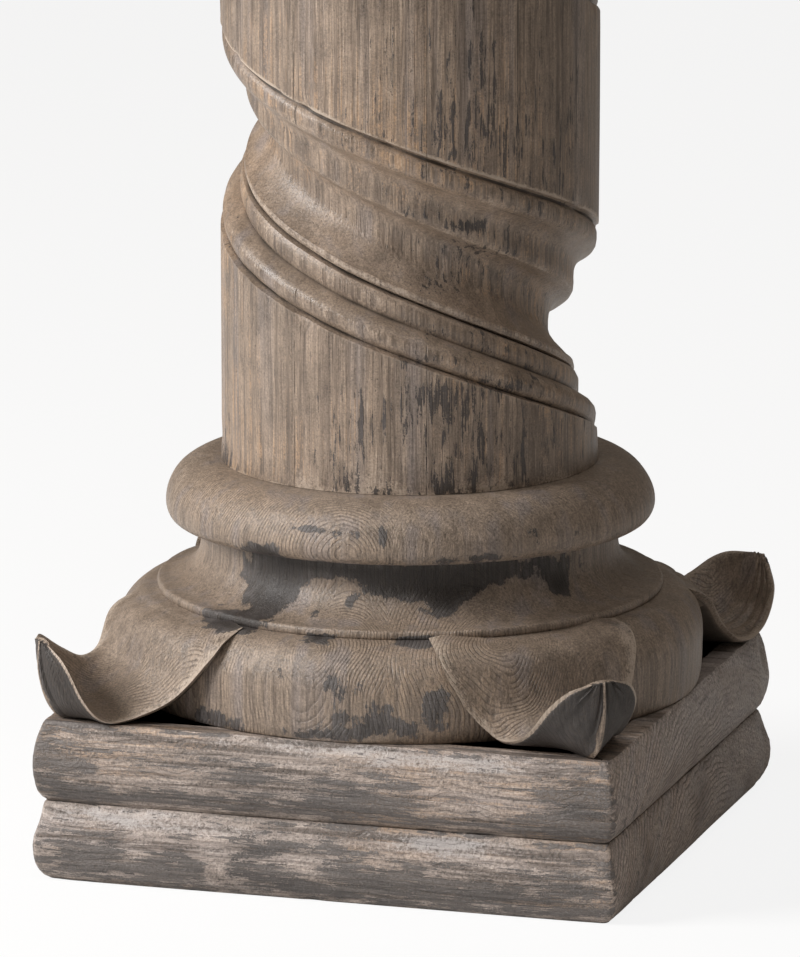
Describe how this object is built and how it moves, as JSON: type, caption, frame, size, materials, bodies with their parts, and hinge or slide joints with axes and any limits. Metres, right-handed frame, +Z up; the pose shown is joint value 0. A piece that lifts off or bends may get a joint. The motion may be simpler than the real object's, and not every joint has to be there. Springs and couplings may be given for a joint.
{
  "type": "carved wooden twisted column",
  "caption": "Freestanding carved wooden column: square moulded plinth, turned base with corner leaves, spiral-grooved shaft, plain turned capital and square abacus.",
  "frame": {"origin": "centre of the plinth's underside, on the floor", "axes": "+Z up the column's axis, -Y out of the plinth's front face, +X out of its right-hand face"},
  "size_m": [0.4194, 0.4193, 2.438],
  "materials": {
    "plinth_wood": "taupe stain worn over grain, with remnants of grey and black paint",
    "base_wood": "brown stain worn on the edges, with slate-grey paint in the hollows",
    "shaft_wood": "brown stain with vertical grain streaks and dark paint remnants",
    "capital_wood": "brown stain worn on the edges, with slate-grey paint in the hollows"
  },
  "bodies": {
    "root": {"plinth_lower_slab": "plinth_wood", "plinth_upper_slab": "plinth_wood", "carved_base": "base_wood", "twisted_shaft": "shaft_wood", "capital": "capital_wood", "abacus_slab": "capital_wood"}
  },
  "joints": []
}
